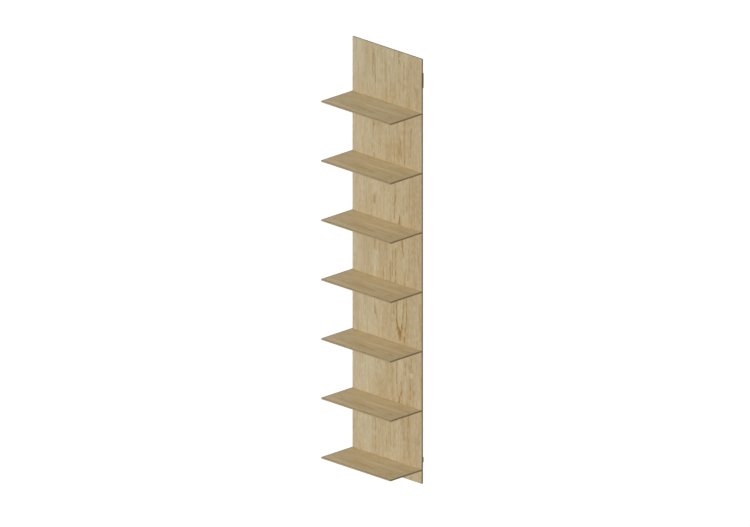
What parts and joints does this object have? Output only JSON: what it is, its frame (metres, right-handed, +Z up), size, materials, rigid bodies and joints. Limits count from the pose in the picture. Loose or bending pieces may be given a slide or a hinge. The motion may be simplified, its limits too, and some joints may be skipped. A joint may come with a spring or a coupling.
{
  "type": "spine bookshelf",
  "caption": "Tall narrow wall-hung back panel carrying a column of thin full-width shelves, hooked on a bevelled wall rail with a spacer at its foot.",
  "frame": {"origin": "centre of the wall rail's back face, on the wall", "axes": "+X to the right seen from the room, +Y into the wall, +Z up; the shelves stand out towards -Y"},
  "size_m": [0.45, 0.227, 2.068],
  "materials": {
    "panel_veneer": "matt lacquered oak veneer, grain upright",
    "shelf_veneer": "matt lacquered oak veneer, grain across the shelf",
    "oak_lipping": "matt lacquered solid oak strip",
    "rail_oak": "planed bare oak",
    "zinc_steel": "zinc plated"
  },
  "bodies": {
    "wall_rail": {"wall_rail": "rail_oak"},
    "bookshelf": {"panel_rail": "rail_oak", "panel_rail_screws": "zinc_steel", "bottom_spacer": "rail_oak", "spacer_screws": "zinc_steel", "back_panel": "panel_veneer", "panel_left_lipping": "oak_lipping", "panel_right_lipping": "oak_lipping", "panel_top_lipping": "oak_lipping", "panel_bottom_lipping": "oak_lipping", "shelf_1_board": "shelf_veneer", "shelf_1_front_lipping": "oak_lipping", "shelf_1_left_lipping": "oak_lipping", "shelf_1_right_lipping": "oak_lipping", "shelf_1_screws": "zinc_steel", "shelf_2_board": "shelf_veneer", "shelf_2_front_lipping": "oak_lipping", "shelf_2_left_lipping": "oak_lipping", "shelf_2_right_lipping": "oak_lipping", "shelf_2_screws": "zinc_steel", "shelf_3_board": "shelf_veneer", "shelf_3_front_lipping": "oak_lipping", "shelf_3_left_lipping": "oak_lipping", "shelf_3_right_lipping": "oak_lipping", "shelf_3_screws": "zinc_steel", "shelf_4_board": "shelf_veneer", "shelf_4_front_lipping": "oak_lipping", "shelf_4_left_lipping": "oak_lipping", "shelf_4_right_lipping": "oak_lipping", "shelf_4_screws": "zinc_steel", "shelf_5_board": "shelf_veneer", "shelf_5_front_lipping": "oak_lipping", "shelf_5_left_lipping": "oak_lipping", "shelf_5_right_lipping": "oak_lipping", "shelf_5_screws": "zinc_steel", "shelf_6_board": "shelf_veneer", "shelf_6_front_lipping": "oak_lipping", "shelf_6_left_lipping": "oak_lipping", "shelf_6_right_lipping": "oak_lipping", "shelf_6_screws": "zinc_steel", "shelf_7_board": "shelf_veneer", "shelf_7_front_lipping": "oak_lipping", "shelf_7_left_lipping": "oak_lipping", "shelf_7_right_lipping": "oak_lipping", "shelf_7_screws": "zinc_steel"}
  },
  "joints": [
    {"name": "lift_off", "type": "slide", "parent": "wall_rail", "child": "bookshelf", "axis": [0, 0, 1], "range_m": [0, 0.02]}
  ]
}
